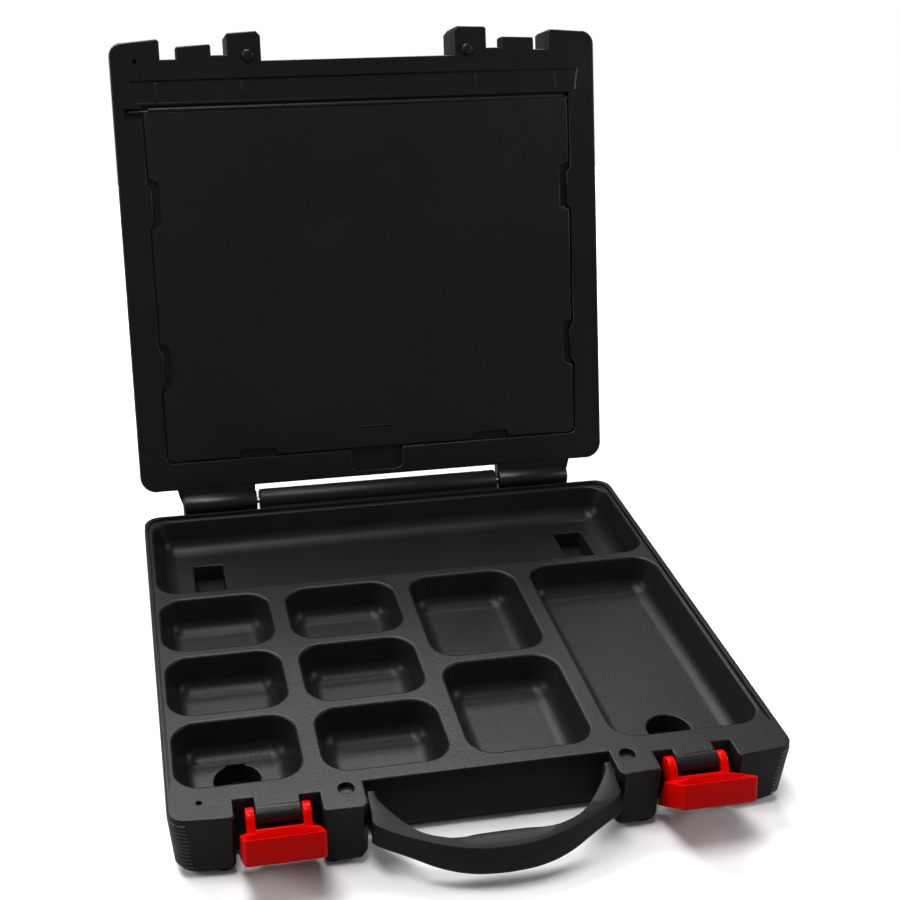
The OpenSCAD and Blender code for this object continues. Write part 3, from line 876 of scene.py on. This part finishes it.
for side, label in ((-1, "Left"), (1, "Right")):
    low = ribPiece("baseRibs" + label, wallPath(side, ribSize["baseLow"]), ribSize["baseCount"],
                   ribSize["pitch"], None, litRibPlastic)
    high = ribPiece("lidRibs" + label, wallPath(side, caseSize["baseHigh"] + ribSize["lidLow"]),
                    ribSize["lidCount"], ribSize["pitch"], lidTurn, litRibPlastic)
    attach(low, "base")
    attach(high, "lid")
print("side ribs built")

# grip ridge beside the finger notch
ridgePath = [(x, frontY + 271.5, caseSize["baseHigh"] + panelSize["low"]) for x in (-12, -6, 0, 6, 11)]
ridges = ribPiece("panelRidges", ridgePath, 1, 1.0, lidTurn, shadedPanelPlastic)
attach(ridges, "panel")

# which body each piece rides on, its slot and the node it stands in for
for piece, body, slot, node in ((baseBody, "base", "case_plastic", "base_shell"),
                                (lidBody, "lid", "case_plastic", "lid_shell"),
                                (coverPanel, "panel", "panel_plastic", "cover_panel"),
                                (carryHandle, "handle", "handle_plastic", "carry_handle"),
                                (latchLeft, "left_latch", "latch_plastic", "latch_left"),
                                (latchRight, "right_latch", "latch_plastic", "latch_right")):
    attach(piece, body)
    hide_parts(node)
steel = drawnSteel()
for node in ("hinge_pin_left", "hinge_pin_right"):
    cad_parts[node].data.materials.clear()
    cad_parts[node].data.materials.append(steel)
print("pieces placed on their bodies")

# floor, backdrop, lights and camera
studio = {"floor": (0.82, 0.82, 0.82), "bounce": (0.3, 0.3, 0.3), "world": 0.18}
floorMesh = bpy.data.meshes.new("studioFloor")
floorCorners = [(-1.6, -1.6, 0), (1.6, -1.6, 0), (1.6, 1.1, 0), (-1.6, 1.1, 0)]
floorMesh.from_pydata(floorCorners, [], [(0, 1, 2, 3)])
studioFloor = bpy.data.objects.new("studioFloor", floorMesh)
bpy.context.scene.collection.objects.link(studioFloor)
# the floor looks pale, while the light it throws back stays low
floorMaterial = bpy.data.materials.new("paleFloor")
floorMaterial.use_nodes = True
floorTree = floorMaterial.node_tree
floorTree.nodes.clear()
dullFloor, paleFloor = (
    makeNode(floorTree, "ShaderNodeBsdfDiffuse", None, {"Color": (*studio[key], 1)}).out()
    for key in ("bounce", "floor"))
watched = makeNode(floorTree, "ShaderNodeLightPath").out("Is Camera Ray")
floorLook = makeNode(floorTree, "ShaderNodeMixShader", None, {0: watched, 1: dullFloor, 2: paleFloor}).out()
makeNode(floorTree, "ShaderNodeOutputMaterial", None, {"Surface": floorLook})
floorMesh.materials.append(floorMaterial)

world = bpy.data.worlds.new("studioWorld")
bpy.context.scene.world = world
world.use_nodes = True
# the backdrop looks white, while the light it gives stays low
backdrop = world.node_tree.nodes["Background"]
backdrop.inputs["Color"].default_value = (1, 1, 1, 1)
backdrop.inputs["Strength"].default_value = studio["world"]
seen = makeNode(world.node_tree, "ShaderNodeBackground", None, {"Color": (1, 1, 1, 1), "Strength": 1.0})
ray = makeNode(world.node_tree, "ShaderNodeLightPath").out("Is Camera Ray")
lowLight = Sock(world.node_tree, backdrop.outputs[0])
either = makeNode(world.node_tree, "ShaderNodeMixShader", None, {0: ray, 1: lowLight, 2: seen.out()})
worldOutput = world.node_tree.nodes["World Output"]
world.node_tree.links.new(either.out().socket, worldOutput.inputs["Surface"])


def areaLight(name, place, aim, size, power):
    data = bpy.data.lights.new(name, "AREA")
    data.shape, data.size, data.size_y, data.energy = "RECTANGLE", size[0], size[1], power
    lamp = bpy.data.objects.new(name, data)
    lamp.location = place
    lamp.rotation_euler = (Vector(aim) - Vector(place)).to_track_quat("-Z", "Y").to_euler()
    bpy.context.scene.collection.objects.link(lamp)


# place, aim, size and power of each light, in metres and watts
areaLight("topPanel", (-0.2, 1.12, 1.75), (0, 0.0, 0.02), (1.9, 0.8), 64)
areaLight("frontPanel", (-0.4, -0.2, 1.9), (0, 0.05, 0.02), (1.1, 0.5), 32)
areaLight("leftPanel", (-1.7, 0.1, 0.9), (0, 0, 0.08), (0.7, 0.6), 12)
areaLight("rightPanel", (1.4, -0.5, 0.75), (0.1, 0, 0.04), (0.5, 0.4), 7)

# place in metres, with the directions to the camera's right and straight ahead
cameraSize = {"lens": 54.88, "sensor": 36.0, "shift": (0.0829, -0.0274),
              "place": (-0.1708, -0.69075, 0.5242), "right": (0.98223, -0.18738, 0.01015),
              "ahead": (0.17232, 0.87922, -0.44415)}
cameraData = bpy.data.cameras.new("studioCamera")
cameraData.lens, cameraData.sensor_width = cameraSize["lens"], cameraSize["sensor"]
cameraData.shift_x, cameraData.shift_y = cameraSize["shift"]
cameraData.clip_start, cameraData.clip_end = 0.01, 20
studioCamera = bpy.data.objects.new("studioCamera", cameraData)
right, ahead = Vector(cameraSize["right"]).normalized(), Vector(cameraSize["ahead"])
ahead = (ahead - right * ahead.dot(right)).normalized()
facing = Matrix((right, right.cross(ahead), -ahead)).transposed().to_4x4()
studioCamera.matrix_world = Matrix.Translation(cameraSize["place"]) @ facing
bpy.context.scene.collection.objects.link(studioCamera)
bpy.context.scene.camera = studioCamera
bpy.context.scene.view_settings.view_transform = "Standard"
print("floor, lights and camera placed")
